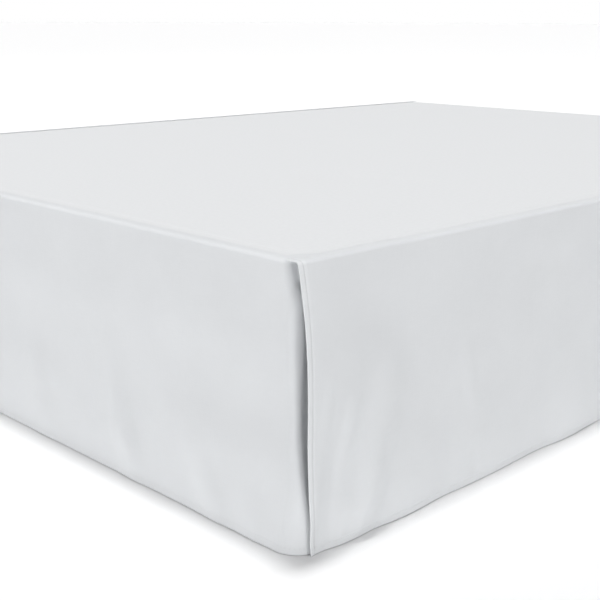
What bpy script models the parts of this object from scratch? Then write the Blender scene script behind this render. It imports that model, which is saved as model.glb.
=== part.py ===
"""Tailored bed skirt with split foot corners, hanging round a plain queen bed base.

Metres, +Z up. The origin is on the floor under the middle of the bed. +Y points to the head, and +X to
the right as seen from the foot. The skirt is four cut pieces: a flat deck that lies on the box
foundation, a foot drop whose ends turn round both foot corners as underlaps, and two side drops whose
hemmed front edges hang over those underlaps. The head end is open.
"""
from collections import namedtuple
from math import cos, pi, radians, sin

import bmesh
import bpy
import numpy as np

# Driving sizes of the skirt
BED_WIDTH = 1.524           # between the side faces, a queen platform of 60 in
BED_LENGTH = 2.032          # foot face to head edge, 80 in
DROP = 0.381                # top of the skirt's edge to the floor, 15 in
CLOTH = 0.0012              # a woven panel
DECK_CLOTH = 0.0015         # the plainer cloth of the deck
DECK_CORNER = 0.025
DECK_BORDER = 0.020         # its border, which the drops' flanges press down
DECK_RISE = 0.0005          # the rest of it stands this much higher,
DECK_SLOPE = 0.003          # past a slope of this width
HEM = 0.0020                # the same cloth where its edge is turned and stitched
HEM_WIDTH = 0.011           # width of the stitched front hem of a side drop
HEM_LIFT = 0.0015           # the lower edge hangs this far off the floor
GAP = 0.0003                # between two pieces that touch
SHOULDER = 0.005            # radius at which the cloth turns over the bed's edge
FLANGE = 0.018              # how far the cloth reaches in over the deck
UNDERLAP_END = 0.130        # the foot drop's end, measured along the side from the corner
OVERLAP_EASE = 0.080        # past it the side drop sinks by one layer over this length

# Foot corners: the foot drop turns round them on an arc, and lies tucked inside the side drop's plane.
# The cloth is pinched in at the seam, turns sharply below it and spreads on a wide arc at the hem
CornerStation = namedtuple("CornerStation", "height radius tuck")
CORNER = (
    CornerStation(0.000, 0.041, 0.0075),
    CornerStation(0.040, 0.034, 0.0070),
    CornerStation(0.090, 0.021, 0.0062),
    CornerStation(0.150, 0.013, 0.0060),
    CornerStation(0.215, 0.011, 0.0060),
    CornerStation(0.275, 0.011, 0.0070),
    CornerStation(0.310, 0.011, 0.0090),
    CornerStation(0.336, 0.010, 0.0115),
    CornerStation(0.360, 0.009, 0.0135),
    CornerStation(0.381, 0.009, 0.0140),
)
SEAM_CORNER = 0.002         # least radius of the cloth's inner corner where it lies on the deck
UNDERLAP_TUCK = 0.0045      # past the corner the underlap lies this far inside the side drop's plane
UNDERLAP_SLANT = 0.012      # its loose end drifts this much further in at the hem

# The front edge of a side drop, by height: how far back from the corner it hangs, how far it stands
# proud of the panel, and how far along the panel that bend dies out
EdgeStation = namedtuple("EdgeStation", "height back proud reach")
FRONT_EDGE = (
    EdgeStation(0.000, 0.0275, -0.0065, 0.080),
    EdgeStation(0.020, 0.0215, -0.0040, 0.080),
    EdgeStation(0.040, 0.0180, -0.0005, 0.080),
    EdgeStation(0.081, 0.0110, 0.0045, 0.085),
    EdgeStation(0.147, 0.0045, 0.0085, 0.110),
    EdgeStation(0.211, 0.0035, 0.0095, 0.140),
    EdgeStation(0.274, 0.0022, 0.0080, 0.150),
    EdgeStation(0.310, 0.0005, 0.0060, 0.150),
    EdgeStation(0.336, -0.0010, 0.0040, 0.140),
    EdgeStation(0.360, -0.0020, 0.0015, 0.120),
    EdgeStation(0.381, -0.0045, 0.0000, 0.100),
)

# Folds: where the crest meets the floor, its lean along the panel per metre of height, its half width,
# how far it stands out (in, where it is negative), and the height where it fades away
Fold = namedtuple("Fold", "at lean width out top")
RIGHT_FOLDS = (             # distances from the foot corner along the right side
    Fold(0.070, 0.06, 0.024, 0.0036, 0.22),
    Fold(0.096, 0.28, 0.050, 0.0180, 0.27),
    Fold(0.200, 0.05, 0.105, 0.0100, 0.26),
    Fold(0.320, 0.35, 0.045, 0.0022, 0.19),
    Fold(0.375, 0.05, 0.170, 0.0046, 0.30),
    Fold(0.600, 0.30, 0.100, 0.0080, 0.38),
    Fold(0.830, -0.25, 0.110, 0.0036, 0.28),
    Fold(1.190, 0.30, 0.120, 0.0092, 0.33),
    Fold(1.560, -0.20, 0.090, 0.0074, 0.27),
    Fold(1.880, 0.10, 0.075, 0.0084, 0.30),
)
LEFT_FOLDS = (              # distances from the foot corner along the left side
    Fold(0.062, 0.10, 0.022, -0.0010, 0.22),
    Fold(0.108, 0.16, 0.042, 0.0120, 0.25),
    Fold(0.225, 0.12, 0.090, 0.0080, 0.28),
    Fold(0.450, 0.30, 0.130, 0.0060, 0.30),
    Fold(0.760, -0.20, 0.080, 0.0078, 0.26),
    Fold(1.060, 0.35, 0.110, 0.0090, 0.33),
    Fold(1.450, -0.30, 0.090, 0.0070, 0.28),
    Fold(1.800, 0.15, 0.080, 0.0084, 0.31),
)
FOOT_FOLDS = (              # distances from the bed's centre line along the foot face
    Fold(0.640, -0.50, 0.070, 0.0024, 0.26),
    Fold(0.425, -0.60, 0.085, 0.0040, 0.32),
    Fold(0.170, -0.30, 0.090, 0.0030, 0.27),
    Fold(-0.100, 0.25, 0.100, 0.0038, 0.32),
    Fold(-0.370, 0.35, 0.075, 0.0066, 0.28),
    Fold(-0.610, 0.30, 0.062, 0.0068, 0.24),
)
HEM_HOLD = 0.2              # the stiff lower hem lets a narrow fold through to this share
HEM_FREE = 0.065            # height from which the folds are free of it
NARROW, WIDE = 0.05, 0.15   # half widths of a fold that it holds back fully, and of one that it can't hold

# Driving sizes of the bed base
BASE_INSET = 0.0075         # the foundation's sides, inside the skirt's planes
FOUNDATION_HEIGHT = 0.200
FOUNDATION_CORNER = 0.050   # rounding of its upright edges
FOUNDATION_EDGE = 0.008     # rounding of its top and bottom edges
ANGLE_WIDTH = 0.038         # both flanges of a side rail's steel angle
ANGLE_WALL = 0.003
RAIL_FOOT_SETBACK = 0.150   # the rails stop short of the underlaps
RAIL_HEAD_SETBACK = 0.030
BAR_SIZE = 0.030            # square steel cross bar
BAR_PLACES = {"foot": -0.780, "middle": 0.060, "head": 0.900}
LEG_RADIUS = 0.016
LEG_PLACES = {"left": -0.660, "centre": 0.0, "right": 0.660}
GLIDE_RADIUS = 0.026
GLIDE_TOP_RADIUS = 0.018
GLIDE_HEIGHT = 0.018

# Heights that follow: layers of cloth on the foundation, counted down from the skirt's top edge
LAYER = CLOTH + GAP
DECK_TOP = DROP - LAYER
FOUNDATION_TOP = DECK_TOP - DECK_CLOTH - GAP
RAIL_TOP = FOUNDATION_TOP - FOUNDATION_HEIGHT - GAP
BAR_TOP = RAIL_TOP - ANGLE_WALL - GAP

# Planes that follow: the middle of each hanging cloth
SIDE_FACE = BED_WIDTH / 2
FOOT_FACE = -BED_LENGTH / 2
HEAD_EDGE = BED_LENGTH / 2
BASE_SIDE = SIDE_FACE - BASE_INSET
BASE_END = BED_LENGTH / 2 - BASE_INSET

# How finely the cloth is divided
HANG_ROWS = 9
HANG_CROWDING = 1.25        # above 1, rows gather towards the hem
SHOULDER_ANGLES = (0, 30, 60, 90)
FACE_COLUMNS = 38           # along the foot face
ARC_COLUMNS = 6             # round each foot corner
UNDERLAP_SHARES = (0.2, 0.45, 0.7, 1.0)     # from the arc to the underlap's loose end
SIDE_RUNS = (               # (end of a run along the side, its steps): closer where folds are narrow
    (HEM_WIDTH, 1),
    (HEM_WIDTH + 0.002, 1),
    (0.193, 18),
    (0.443, 10),
    (BED_LENGTH - HEM_WIDTH, 20),
    (BED_LENGTH, 1),
)
TURNED_SIDES = 16           # sides of a round piece
SHARP_DEGREES = 40          # edges of round pieces sharper than this stay crisp
FOOT_HEM_COLUMNS = 1        # columns at each end of a drop that carry its stitched hem
SIDE_HEM_COLUMNS = 2


# %% Helpers

def collection(name):
    """A new collection linked to the scene."""
    made = bpy.data.collections.new(name)
    bpy.context.scene.collection.children.link(made)
    return made


def material(name, colour, roughness, metallic=0.0):
    """A Principled material with the part's own colour, roughness and metallic value."""
    made = bpy.data.materials.new(name)
    made.use_nodes = True
    shader = made.node_tree.nodes["Principled BSDF"]
    shader.inputs["Base Color"].default_value = (*colour, 1.0)
    shader.inputs["Roughness"].default_value = roughness
    shader.inputs["Metallic"].default_value = metallic
    return made


def add_object(name, data, finish, group):
    """Put mesh or curve data into the group as one object with one finish."""
    made = bpy.data.objects.new(name, data)
    data.materials.append(finish)
    group.objects.link(made)
    return made


def mesh_from(bm, name):
    """Close a bmesh and hand back its mesh."""
    bmesh.ops.recalc_face_normals(bm, faces=bm.faces)
    mesh = bpy.data.meshes.new(name)
    bm.to_mesh(mesh)
    bm.free()
    return mesh


def ease(t):
    """0 up to t = 0, 1 from t = 1, and a smooth step between."""
    t = np.clip(t, 0.0, 1.0)
    return t * t * (3.0 - 2.0 * t)


def stepped(runs):
    """Numbers that climb through runs of (end, how many steps), starting at 0."""
    values = [0.0]
    for end, steps in runs:
        values += list(np.linspace(values[-1], end, steps + 1)[1:])
    return values


# %% Cloth

def hanging_rows():
    """A drop's section from hem to seam: lists of the inset from its face and of the height."""
    turn = DROP - CLOTH / 2 - SHOULDER
    inset = [0.0] * HANG_ROWS
    height = [HEM_LIFT + (turn - HEM_LIFT) * (i / HANG_ROWS) ** HANG_CROWDING for i in range(HANG_ROWS)]
    for angle in SHOULDER_ANGLES:
        inset.append(SHOULDER * (1 - cos(radians(angle))))
        height.append(turn + SHOULDER * sin(radians(angle)))
    inset.append(FLANGE)
    height.append(height[-1])
    return np.array(inset), np.array(height)


def fold_push(folds, along, height):
    """How far the folds push the cloth out, in metres.

    Each fold is a squared cosine across its own leaning line, times an ease that is 1 at the floor and 0
    at the fold's top. Near the floor the stiff lower hem holds it back, a narrow one more than a wide one.
    """
    push = np.zeros(np.broadcast(along, height).shape)
    for fold in folds:
        across = (along - fold.at - fold.lean * height) / fold.width
        ridge = np.cos(pi / 2 * np.clip(across, -1.0, 1.0)) ** 2
        loose = HEM_HOLD + (1.0 - HEM_HOLD) * np.clip((fold.width - NARROW) / (WIDE - NARROW), 0.0, 1.0)
        held = loose + (1.0 - loose) * ease(height / HEM_FREE)
        push += fold.out * ridge * ease(1.0 - height / fold.top) * held
    return push


def at_height(stations, height):
    """The columns of a table of stations after the first, read between its rows at the heights given."""
    table = np.array(stations).T
    return [np.interp(height, table[0], column) for column in table[1:]]


def foot_drop_surface():
    """The middle surface of the foot drop, as a grid of points from its left end to its right end.

    In plan the cloth runs straight along the foot, turns each corner on an arc, and ends as an underlap
    behind the side drop.
    """
    inset, height = hanging_rows()
    radius, tuck = at_height(CORNER, height)
    radius = np.maximum(radius - inset, SEAM_CORNER)
    centre_x = SIDE_FACE - tuck - inset - radius
    centre_y = FOOT_FACE + inset + radius
    slant = UNDERLAP_SLANT * ease(1.0 - height / (FOUNDATION_TOP - FOUNDATION_HEIGHT))
    columns = []
    for share in np.linspace(0.0, 1.0, FACE_COLUMNS // 2 + 1):
        x = centre_x * share
        columns.append((x, np.full_like(x, FOOT_FACE) + inset, 1.0))
    for angle in np.linspace(0.0, pi / 2, ARC_COLUMNS + 1)[1:]:
        x = centre_x + radius * sin(angle)
        y = centre_y - radius * cos(angle)
        columns.append((x, y, cos(angle)))
    for share in UNDERLAP_SHARES:
        settled = ease(share / UNDERLAP_SHARES[0])
        x = SIDE_FACE - inset - tuck + (tuck - UNDERLAP_TUCK) * settled - slant * share
        y = centre_y + share * (FOOT_FACE + UNDERLAP_END - centre_y)
        columns.append((x, y, 0.0))
    points = []
    for side in (-1, 1):
        half = columns[:0:-1] if side < 0 else columns
        for x, y, facing in half:
            push = facing * fold_push(FOOT_FOLDS, side * x, height)
            points.append(np.stack([side * x, y - push, height], axis=-1))
    return np.stack(points)


def side_drop_surface(side, folds):
    """The middle surface of a side drop, as a grid of points. side is 1 at the right and -1 at the left."""
    inset, height = hanging_rows()
    back, proud, reach = at_height(FRONT_EDGE, height)
    points = []
    for start in stepped(SIDE_RUNS):
        edge = ease(1.0 - start / reach)
        along = start + back * edge
        push = proud * edge + fold_push(folds, along, height)
        over_lap = LAYER * ease(1.0 - (start - UNDERLAP_END) / OVERLAP_EASE) * ease(height / DROP)
        x = SIDE_FACE - inset + push
        points.append(np.stack([side * x, FOOT_FACE + along, height + over_lap], axis=-1))
    return np.stack(points[::side])


def cloth_panel(name, points, hem_columns, finish, group):
    """A closed sheet of cloth on a grid of points: a mapped grid with Solidify, thicker where hemmed.

    hem_columns is how many columns of points carry the hem at each end. The part of a column that lies
    over the bed's edge keeps the plain thickness.
    """
    columns, rows = points.shape[0] - 1, points.shape[1] - 1
    bm = bmesh.new()
    bmesh.ops.create_grid(bm, x_segments=columns, y_segments=rows, size=0.5)
    weights = bm.verts.layers.deform.verify()
    for vert in bm.verts:
        column = round((vert.co.x + 0.5) * columns)
        row = round((vert.co.y + 0.5) * rows)
        vert.co = points[column, row]
        if min(column, columns - column) < hem_columns and row < HANG_ROWS:
            vert[weights][0] = 1.0
    panel = bpy.data.meshes.new(name)
    bm.to_mesh(panel)
    bm.free()
    panel.shade_smooth()
    made = add_object(name, panel, finish, group)
    made.vertex_groups.new(name="hem")
    shell = made.modifiers.new("cloth", "SOLIDIFY")
    shell.thickness = HEM
    shell.vertex_group = "hem"
    shell.thickness_vertex_group = CLOTH / HEM
    shell.offset = 0.0
    shell.use_even_offset = True
    return made


def deck(finish, group):
    """The flat panel that lies on the foundation, with rounded corners, under the drops' flanges."""
    edge = BASE_INSET + FOUNDATION_EDGE + GAP
    return slab("deck", (BED_WIDTH - 2 * edge, BED_LENGTH - 2 * edge, DECK_CLOTH), DECK_TOP - DECK_CLOTH,
                DECK_CORNER, finish, group, border=DECK_BORDER)


# %% Bed base

def slab(name, size, bottom, corner, finish, group, edge=0.0, border=0.0):
    """A level slab centred on the bed, with rounded upright edges.

    Its rims are rounded too where edge is over 0. Where border is over 0, its top stands a little higher
    inside a flat border of that width.
    """
    thickness = size[2]
    bm = bmesh.new()
    bmesh.ops.create_cube(bm, size=1.0)
    bmesh.ops.scale(bm, vec=size, verts=bm.verts)
    bmesh.ops.translate(bm, vec=(0, 0, bottom + thickness / 2), verts=bm.verts)
    upright = [e for e in bm.edges if abs(e.verts[0].co.z - e.verts[1].co.z) > thickness / 2]
    bmesh.ops.bevel(bm, geom=upright, offset=corner, segments=4, profile=0.5, affect="EDGES")
    if border:
        top = max(bm.faces, key=lambda f: f.calc_center_median().z)
        bmesh.ops.inset_region(bm, faces=[top], thickness=border, use_even_offset=True)
        bmesh.ops.inset_region(bm, faces=[top], thickness=DECK_SLOPE, depth=DECK_RISE, use_even_offset=True)
    if edge:
        level = [e for e in bm.edges if abs(e.verts[0].co.z - e.verts[1].co.z) < 1e-6]
        rims = [e for e in level if any(abs(f.normal.z) > 0.9 for f in e.link_faces)]
        bmesh.ops.bevel(bm, geom=rims, offset=edge, segments=2, profile=0.5, affect="EDGES")
    return add_object(name, mesh_from(bm, name), finish, group)


def foundation(finish, group):
    """The box foundation, as one plain rounded block."""
    return slab("box_foundation", (2 * BASE_SIDE, 2 * BASE_END, FOUNDATION_HEIGHT),
                FOUNDATION_TOP - FOUNDATION_HEIGHT, FOUNDATION_CORNER, finish, group, edge=FOUNDATION_EDGE)


def side_rail(name, side, finish, group):
    """A steel angle along one side: one flange under the foundation, the other up its side."""
    outer = BASE_SIDE + GAP + ANGLE_WALL
    inner = outer - ANGLE_WIDTH
    low = RAIL_TOP - ANGLE_WALL
    outline = ((inner, low), (outer, low), (outer, low + ANGLE_WIDTH), (outer - ANGLE_WALL, low + ANGLE_WIDTH),
               (outer - ANGLE_WALL, RAIL_TOP), (inner, RAIL_TOP))
    start = FOOT_FACE + RAIL_FOOT_SETBACK
    end = HEAD_EDGE - RAIL_HEAD_SETBACK
    curve = bpy.data.curves.new(name, "CURVE")
    curve.dimensions = "2D"
    curve.fill_mode = "BOTH"
    curve.extrude = (end - start) / 2
    spline = curve.splines.new("POLY")
    spline.points.add(len(outline) - 1)
    for point, (x, z) in zip(spline.points, outline):
        point.co = (side * x, z, 0.0, 1.0)
    spline.use_cyclic_u = True
    rail = add_object(name, curve, finish, group)
    rail.location = (0.0, (start + end) / 2, 0.0)
    rail.rotation_euler = (pi / 2, 0.0, 0.0)
    return rail


def cross_bar(name, place, finish, group):
    """A square bar across the bed under both rails."""
    length = 2 * (BASE_SIDE - GAP)
    bm = bmesh.new()
    bmesh.ops.create_cube(bm, size=1.0)
    bmesh.ops.scale(bm, vec=(length, BAR_SIZE, BAR_SIZE), verts=bm.verts)
    bar = add_object(name, mesh_from(bm, name), finish, group)
    bar.location = (0.0, place, BAR_TOP - BAR_SIZE / 2)
    return bar


def turned(name, radius_low, radius_high, low, high, place, finish, group):
    """An upright round piece from one height to another, as a cone primitive with capped ends."""
    bm = bmesh.new()
    bmesh.ops.create_cone(bm, cap_ends=True, segments=TURNED_SIDES, radius1=radius_low,
                          radius2=radius_high, depth=high - low)
    made = add_object(name, mesh_from(bm, name), finish, group)
    made.data.shade_smooth()
    made.data.set_sharp_from_angle(angle=radians(SHARP_DEGREES))
    made.location = (*place, (low + high) / 2)
    return made


def supports(steel, foot_plastic, group):
    """The cross bars, each on three round legs with a wide glide that stands on the floor."""
    for row, y in BAR_PLACES.items():
        cross_bar(f"cross_bar_{row}", y, steel, group)
        for column, x in LEG_PLACES.items():
            turned(f"leg_{row}_{column}", LEG_RADIUS, LEG_RADIUS, GLIDE_HEIGHT + GAP,
                   BAR_TOP - BAR_SIZE - GAP, (x, y), steel, group)
            turned(f"glide_{row}_{column}", GLIDE_RADIUS, GLIDE_TOP_RADIUS, 0.0, GLIDE_HEIGHT, (x, y),
                   foot_plastic, group)


# %% The whole object

def build():
    """Clear the scene and make every piece."""
    for old in list(bpy.data.objects):
        bpy.data.objects.remove(old, do_unlink=True)
    group = collection("bed_skirt_on_base")
    skirt_white = material("skirt_cloth", (0.80, 0.81, 0.82), 0.85)
    deck_white = material("deck_cloth", (0.78, 0.79, 0.80), 0.90)
    ticking = material("foundation_ticking", (0.70, 0.69, 0.66), 0.90)
    steel = material("frame_steel", (0.10, 0.10, 0.11), 0.45)
    foot_plastic = material("glide_plastic", (0.05, 0.05, 0.05), 0.50)

    cloth_panel("foot_drop", foot_drop_surface(), FOOT_HEM_COLUMNS, skirt_white, group)
    for name, side, folds in (("right", 1, RIGHT_FOLDS), ("left", -1, LEFT_FOLDS)):
        cloth_panel(f"side_drop_{name}", side_drop_surface(side, folds), SIDE_HEM_COLUMNS, skirt_white, group)
        side_rail(f"side_rail_{name}", side, steel, group)
    deck(deck_white, group)
    foundation(ticking, group)
    supports(steel, foot_plastic, group)


build()
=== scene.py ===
# %% [markdown]
# # A tailored bed skirt on its bed base
#
# A bed skirt hides the base of a bed. This one is sewn from four panels: a deck that lies on the box
# foundation, and three drops of close white cotton, one at the foot and one down each side. At the foot
# corners the drops are split: the foot drop turns round the corner and hangs on behind the side drop, whose
# stitched front edge falls over it. The script loads the measured model first, then dresses it panel by
# panel, in metres, with +Z up and the head of the bed at +Y.

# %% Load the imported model
from functools import partial
from math import cos, pi, radians, sin

import bpy
import numpy as np
from mathutils import Matrix, Vector


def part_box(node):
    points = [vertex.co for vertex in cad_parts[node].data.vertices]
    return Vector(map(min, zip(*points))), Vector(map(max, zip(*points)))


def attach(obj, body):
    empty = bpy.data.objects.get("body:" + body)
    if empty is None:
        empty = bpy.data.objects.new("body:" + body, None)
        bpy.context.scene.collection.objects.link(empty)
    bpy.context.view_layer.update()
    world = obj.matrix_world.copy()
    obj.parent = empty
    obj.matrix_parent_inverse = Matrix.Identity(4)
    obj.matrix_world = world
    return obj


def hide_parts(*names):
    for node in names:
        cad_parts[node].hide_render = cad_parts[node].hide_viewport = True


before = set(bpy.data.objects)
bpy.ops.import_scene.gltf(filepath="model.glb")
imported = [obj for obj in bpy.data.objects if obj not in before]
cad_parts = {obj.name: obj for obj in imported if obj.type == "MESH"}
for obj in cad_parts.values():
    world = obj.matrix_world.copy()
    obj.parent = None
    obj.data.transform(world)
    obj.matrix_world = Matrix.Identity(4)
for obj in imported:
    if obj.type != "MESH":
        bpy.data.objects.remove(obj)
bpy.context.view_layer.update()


# %% [markdown]
# ## Sizes
#
# The bed base is already measured, so the planes that the cloth hangs in are worked out from it. What the
# base can't tell is how the skirt is cut: the thickness of the cloth, the widths of its hems, and how far
# it reaches in over the deck. Those are written here once, as a sewing pattern would list them.

# %% Sizes of the skirt
CLOTH = 0.0012              # a woven panel
FRONT_HEM = 0.011           # width of the turned edge down the front of a side drop
LOWER_HEM = 0.012           # width of the turned edge along the floor
HEM_LIFT = 0.0012           # floor to the lower end of the cloth's middle; the rounded rim hangs lower
GAP = 0.0003                # between two layers that touch
LAYER = CLOTH + GAP
SHOULDER = 0.005            # radius at which the cloth turns over the bed's edge
FLANGE = 0.018              # how far it reaches in over the deck
BASE_INSET = 0.0075         # the foundation's sides lie this far inside the skirt's planes

base_low, base_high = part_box("box_foundation")
deck_low, deck_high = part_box("deck")
SIDE_FACE = base_high[0] + BASE_INSET
FOOT_FACE = base_low[1] - BASE_INSET
HEAD_EDGE = base_high[1] + BASE_INSET
BED_LENGTH = HEAD_EDGE - FOOT_FACE
DECK_CLOTH = 0.0015         # the deck's plainer cloth
DECK_TOP = deck_low[2] + DECK_CLOTH
DROP = DECK_TOP + LAYER
print(f"side face {SIDE_FACE:.4f}, foot face {FOOT_FACE:.4f}, length {BED_LENGTH:.4f}, drop {DROP:.4f}")

# %% [markdown]
# ## Smooth steps and smooth tables
#
# Cloth has no kinks, so everything about it changes gradually. Three helpers do most of the work. `ease`
# goes from 0 to 1 and starts and ends level, and `ridge` rises to 1 and sinks again. `read_table` reads a
# short table of sizes at any height; straight lines between the rows would show as faint creases across the
# cloth, so it uses a curve instead.

# %% Helpers for smooth shapes
def ease(t):
    """0 up to t = 0, 1 from t = 1, and 3t^2 - 2t^3 between."""
    t = np.clip(t, 0.0, 1.0)
    return t * t * (3.0 - 2.0 * t)


def ridge(across):
    """1 where across is 0, and 0 from -1 and 1 outwards: a squared cosine."""
    return np.cos(pi / 2 * np.clip(across, -1.0, 1.0)) ** 2


def read_table(stations, height):
    """Each column of a table after its first, read at the heights given.

    Between two rows it is the cubic that meets both values with the slopes there. A row's slope is that
    of the table round it.
    """
    table = np.array(stations).T
    knots = table[0]
    row = np.clip(np.searchsorted(knots, height, side="right") - 1, 0, len(knots) - 2)
    span = knots[row + 1] - knots[row]
    t = np.clip((height - knots[row]) / span, 0.0, 1.0)
    columns = []
    for column in table[1:]:
        slope = np.gradient(column, knots)
        start, end = column[row], column[row + 1]
        bend = span * (t * (1.0 - t) ** 2 * slope[row] - t * t * (1.0 - t) * slope[row + 1])
        columns.append(start + (end - start) * ease(t) + bend)
    return columns


def waver(x, step):
    """An uneven wave, -1 to 1, with crests about one step apart: three sines with no common measure."""
    turns = 2 * pi * x / step
    return (np.sin(turns) + 0.7 * np.sin(turns / 1.37 + 1.3) + 0.5 * np.sin(turns / 2.21 + 4.1)) / 2.2


print("ease at a quarter:", ease(0.25), "waver at three places:", waver(np.array([0.0, 0.01, 0.02]), 0.016))

# %% [markdown]
# ## Folds and creases
#
# The skirt hangs nearly flat, and what folds it has are soft: a long shallow swell here, a narrow groove
# there, all of them leaning a little and dying out before they reach the seam. Creases are fainter still,
# and may run any way across the panel. Each is one row of a table, so it can be placed where the
# real cloth has it. The alternative, a cloth simulation, gives folds that look right but never in the right
# place, and these are too shallow to need it. The lower hem is stiff, because the cloth lies in several
# layers there: it lets a wide fold through, but holds a narrow one nearly flat just above the floor.

# %% Folds of the three drops
# A fold's row: where its crest meets the floor; its lean, along the panel per metre of height; half its
# width; how far it stands out, or in where negative; the height where it has faded away.
RIGHT_FOLDS = (             # distances from the foot corner along the right side
    (0.038, 0.12, 0.026, -0.0046, 0.24),
    (0.070, 0.06, 0.024, 0.0036, 0.22),
    (0.096, 0.28, 0.050, 0.0180, 0.27),
    (0.200, 0.05, 0.105, 0.0100, 0.26),
    (0.320, 0.35, 0.045, 0.0022, 0.19),
    (0.375, 0.05, 0.170, 0.0046, 0.30),
    (0.600, 0.30, 0.100, 0.0080, 0.38),
    (0.830, -0.25, 0.110, 0.0036, 0.28),
    (1.190, 0.30, 0.120, 0.0092, 0.33),
    (1.560, -0.20, 0.090, 0.0074, 0.27),
    (1.880, 0.10, 0.075, 0.0084, 0.30),
)
LEFT_FOLDS = (              # distances from the foot corner along the left side
    (0.062, 0.10, 0.022, -0.0010, 0.22),
    (0.108, 0.16, 0.042, 0.0120, 0.25),
    (0.225, 0.12, 0.090, 0.0080, 0.28),
    (0.450, 0.30, 0.130, 0.0060, 0.30),
    (0.760, -0.20, 0.080, 0.0078, 0.26),
    (1.060, 0.35, 0.110, 0.0090, 0.33),
    (1.450, -0.30, 0.090, 0.0070, 0.28),
    (1.800, 0.15, 0.080, 0.0084, 0.31),
)
FOOT_FOLDS = (              # distances from the bed's centre line along the foot face
    (0.674, -0.10, 0.040, 0.0060, 0.12),
    (0.600, -0.30, 0.048, 0.0080, 0.13),
    (0.417, -0.25, 0.046, 0.0072, 0.25),
    (0.177, -0.10, 0.048, 0.0060, 0.22),
    (-0.100, 0.25, 0.100, 0.0038, 0.32),
    (-0.370, 0.35, 0.075, 0.0066, 0.28),
    (-0.610, 0.30, 0.062, 0.0068, 0.24),
)

# A crease's row: x and y of its start and of its end, along the panel and up it; half its width; how far it
# stands out, or in where negative.
RIGHT_CREASES = (
    (0.072, 0.120, 0.096, 0.225, 0.020, 0.0020),
    (0.030, 0.150, 0.044, 0.235, 0.015, 0.0016),
    (0.313, 0.230, 0.353, 0.104, 0.022, 0.0020),
    (0.283, 0.090, 0.303, 0.064, 0.011, -0.0013),
    (0.344, 0.058, 0.356, 0.002, 0.015, -0.0018),
    (0.440, 0.308, 0.620, 0.292, 0.034, -0.0018),
    (0.010, 0.195, 0.230, 0.185, 0.100, 0.0062),
    (0.172, 0.345, 0.190, 0.140, 0.092, -0.0048),
)
FOOT_CREASES = (
    (1.150, 0.283, -0.250, 0.292, 0.100, 0.0054),
    (0.790, 0.128, 0.470, 0.112, 0.062, 0.0046),
    (0.290, 0.122, 0.120, 0.118, 0.052, 0.0026),
    (0.740, 0.340, 0.480, 0.290, 0.034, -0.0020),
    (-0.060, 0.150, -0.360, 0.120, 0.056, 0.0028),
    (-0.420, 0.250, -0.600, 0.190, 0.040, -0.0020),
)
LEFT_CREASES = (
    (0.100, 0.190, 0.340, 0.150, 0.050, 0.0024),
    (0.700, 0.270, 0.880, 0.240, 0.036, -0.0018),
    (1.250, 0.140, 1.440, 0.170, 0.048, 0.0024),
)
HEM_HOLD = 0.2              # the stiff lower hem lets a narrow fold through to this share
HEM_FREE = 0.065            # height from which the folds are free of it
NARROW, WIDE = 0.05, 0.15   # half widths of a fold that it holds back fully, and of one that it can't hold


def crease_push(creases, x, y, full=1.6):
    """How far the creases push the cloth: a ridge across each line, fading to both its ends.

    At full 1 the fade begins at the line's middle. The larger full is, the nearer to the ends it begins.
    """
    push = np.zeros(np.broadcast(x, y).shape)
    for x0, y0, x1, y1, width, out in creases:
        run_x, run_y = x1 - x0, y1 - y0
        length = np.hypot(run_x, run_y)
        travel = ((x - x0) * run_x + (y - y0) * run_y) / length**2
        across = ((y - y0) * run_x - (x - x0) * run_y) / length / width
        push += out * ridge(across) * ease(full * (1.0 - np.abs(2.0 * travel - 1.0)))
    return push


def fold_push(folds, creases, along, height):
    """How far the folds and creases push the cloth out, in metres.

    Each fold is a ridge across its own leaning line, times an ease that is 1 at the floor and 0 at the
    fold's top. Near the floor the stiff lower hem holds it back, a narrow one more than a wide one.
    """
    push = crease_push(creases, along, height)
    for at, lean, width, out, top in folds:
        across = (along - at - lean * height) / width
        loose = HEM_HOLD + (1.0 - HEM_HOLD) * np.clip((width - NARROW) / (WIDE - NARROW), 0.0, 1.0)
        held = loose + (1.0 - loose) * ease(height / HEM_FREE)
        push += out * ridge(across) * ease(1.0 - height / top) * held
    return push


print("folds:", len(RIGHT_FOLDS), "right,", len(LEFT_FOLDS), "left,", len(FOOT_FOLDS), "foot")

# %% [markdown]
# ## The section of a drop
#
# Seen from the end, every drop has the same section: straight up from the floor, round the bed's edge on a
# small radius, and a little way in over the deck, where it is sewn. Measuring along the cloth, and not by
# height, keeps the weave even where the cloth turns.

# %% Section of a drop
TURN_HEIGHT = DROP - CLOTH / 2 - SHOULDER
HANG = TURN_HEIGHT - HEM_LIFT
CUT_HEIGHT = HANG + SHOULDER * pi / 2 + FLANGE - SHOULDER


def section(v):
    """Inset from the face, and height, of the cloth v metres up from its lower edge.

    Straight up to the turn, then a quarter circle of the shoulder's radius, then level.
    """
    angle = np.clip((v - HANG) / SHOULDER, 0.0, pi / 2)
    level = np.maximum(v - HANG - SHOULDER * pi / 2, 0.0)
    inset = SHOULDER * (1.0 - np.cos(angle)) + level
    height = HEM_LIFT + np.minimum(v, HANG) + SHOULDER * np.sin(angle)
    return inset, height


print(f"cut height of a drop: {CUT_HEIGHT * 1000:.1f} mm")

# %% [markdown]
# ## Where the drops meet at a foot corner
#
# The foot drop turns the corner on an arc. The arc is tight for most of its height and wide at the floor,
# where the cloth is free; just under the seam the cloth is pinched in, which leaves a dark pocket at the top
# of the slit. The side drop's front edge bows: from the seam down it stands further and further out of the
# side's plane, then comes back in and swings to the rear at the hem. Both are tables by height.

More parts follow.
